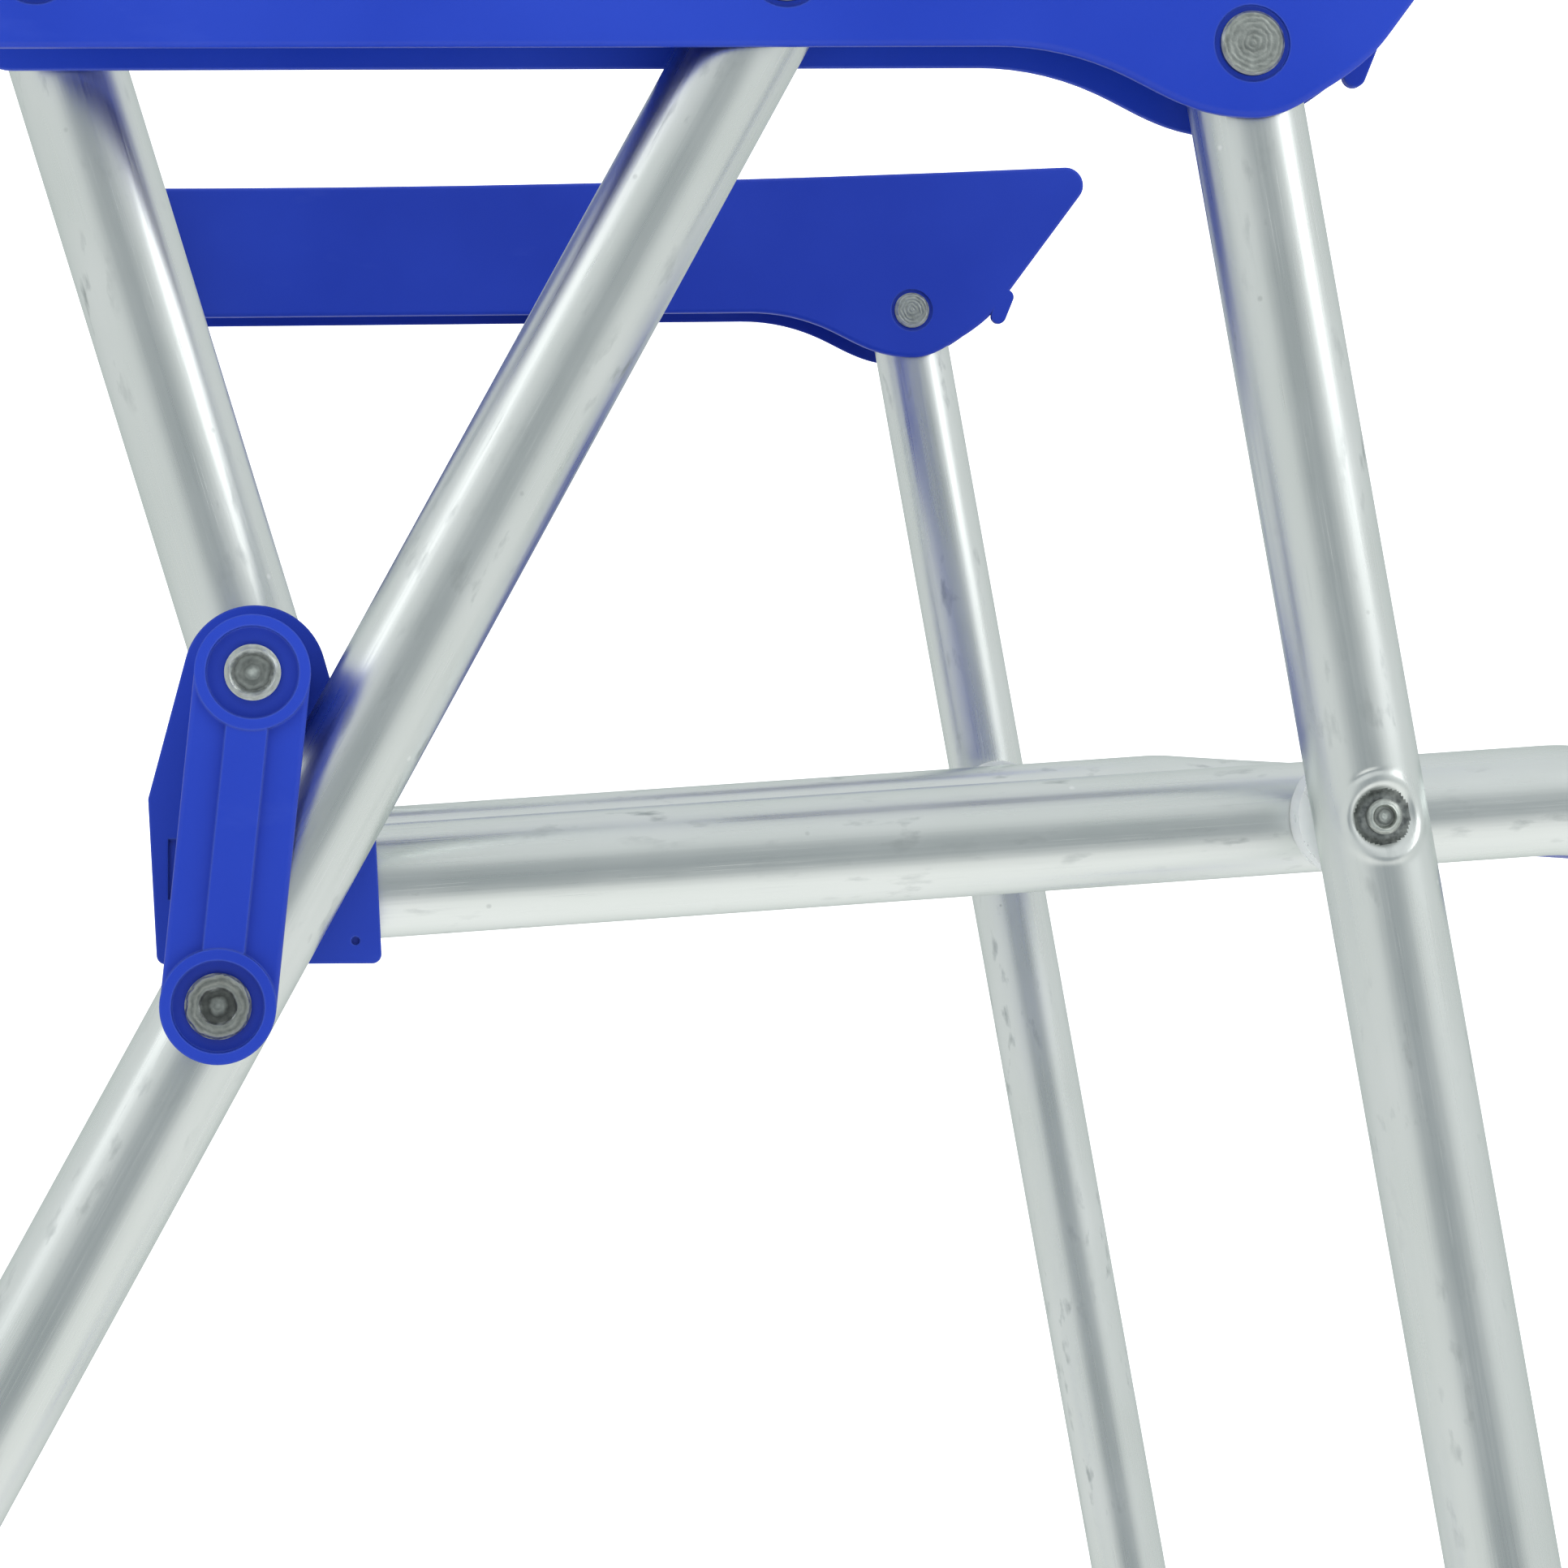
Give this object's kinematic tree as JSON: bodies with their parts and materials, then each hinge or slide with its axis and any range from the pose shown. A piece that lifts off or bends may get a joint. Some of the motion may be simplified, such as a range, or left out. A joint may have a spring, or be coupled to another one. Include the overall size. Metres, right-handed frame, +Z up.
{
  "type": "folding chair",
  "caption": "Folding armchair of bent tube with channel armrests, hinge brackets, side links and slung seat and back panels.",
  "frame": {"origin": "on the floor under the middle of the bounding box", "axes": "+X to the front of the chair, +Y to its left, +Z up"},
  "size_m": [0.5798, 0.559, 0.8518],
  "materials": {
    "tube_aluminium": "satin drawn tube",
    "blue_plastic": "satin moulded",
    "rivet_steel": "zinc plated",
    "clear_nylon": "milky",
    "foot_plastic": "satin moulded",
    "sling_fabric": "woven"
  },
  "bodies": {
    "back_frame": {"back_tube": "tube_aluminium", "back_low_bar": "tube_aluminium", "back_sling": "sling_fabric", "armrest_back_rivet_right": "rivet_steel", "armrest_back_rivet_left": "rivet_steel", "armrest_washer_right": "clear_nylon", "armrest_washer_left": "clear_nylon", "seat_hinge_rivet_right": "rivet_steel", "seat_hinge_rivet_left": "rivet_steel"},
    "seat": {"seat_tube": "tube_aluminium", "seat_rear_bar": "tube_aluminium", "seat_sling": "sling_fabric", "seat_bracket_right": "blue_plastic", "seat_bracket_left": "blue_plastic", "bracket_screw_right": "rivet_steel", "bracket_screw_left": "rivet_steel", "cross_rivet_inner_right": "rivet_steel", "cross_rivet_inner_left": "rivet_steel"},
    "armrest_right": {"armrest_right": "blue_plastic", "front_leg_rivet_right": "rivet_steel", "rear_leg_rivet_right": "rivet_steel"},
    "armrest_left": {"armrest_left": "blue_plastic", "front_leg_rivet_left": "rivet_steel", "rear_leg_rivet_left": "rivet_steel"},
    "front_legs": {"front_leg_tube": "tube_aluminium", "front_foot_right": "foot_plastic", "front_foot_left": "foot_plastic", "cross_rivet_outer_right": "rivet_steel", "cross_rivet_outer_left": "rivet_steel", "cross_spacer_right": "clear_nylon", "cross_spacer_left": "clear_nylon"},
    "rear_legs": {"rear_leg_tube": "tube_aluminium", "rear_foot_right": "foot_plastic", "rear_foot_left": "foot_plastic", "link_rivet_inner_right": "rivet_steel", "link_rivet_inner_left": "rivet_steel"},
    "link_right": {"link_right": "blue_plastic", "link_rivet_outer_right": "rivet_steel", "link_washer_right": "clear_nylon"},
    "link_left": {"link_left": "blue_plastic", "link_rivet_outer_left": "rivet_steel", "link_washer_left": "clear_nylon"}
  },
  "joints": [
    {"name": "seat_fold", "type": "hinge", "parent": "back_frame", "child": "seat", "pos_m": [-0.07087, 0, 0.4452], "axis": [0, -1, 0], "range_deg": [0, 98]},
    {"name": "armrest_right_fold", "type": "hinge", "parent": "back_frame", "child": "armrest_right", "pos_m": [-0.11567, 0, 0.5916], "axis": [0, -1, 0], "range_deg": [0, 95.28]},
    {"name": "armrest_left_fold", "type": "hinge", "parent": "back_frame", "child": "armrest_left", "pos_m": [-0.11567, 0, 0.5916], "axis": [0, -1, 0], "range_deg": [0, 95.28]},
    {"name": "front_legs_fold", "type": "hinge", "parent": "armrest_right", "child": "front_legs", "pos_m": [0.14103, 0, 0.5803], "axis": [0, -1, 0], "range_deg": [-87.27, 0]},
    {"name": "rear_legs_fold", "type": "hinge", "parent": "armrest_right", "child": "rear_legs", "pos_m": [0.04083, 0, 0.5942], "axis": [0, -1, 0], "range_deg": [-47.93, 0]},
    {"name": "link_right_fold", "type": "hinge", "parent": "back_frame", "child": "link_right", "pos_m": [-0.07087, 0, 0.4452], "axis": [0, -1, 0], "range_deg": [0, 170.47]},
    {"name": "link_left_fold", "type": "hinge", "parent": "back_frame", "child": "link_left", "pos_m": [-0.07087, 0, 0.4452], "axis": [0, -1, 0], "range_deg": [0, 170.47]}
  ],
  "couplings": [
    {"joint": "armrest_right_fold", "follows": "seat_fold", "ratio": 0.97015},
    {"joint": "armrest_left_fold", "follows": "seat_fold", "ratio": 0.97015},
    {"joint": "front_legs_fold", "follows": "seat_fold", "ratio": -0.8885},
    {"joint": "rear_legs_fold", "follows": "seat_fold", "ratio": -0.48703},
    {"joint": "link_right_fold", "follows": "seat_fold", "ratio": 1.7375},
    {"joint": "link_left_fold", "follows": "seat_fold", "ratio": 1.7375}
  ]
}
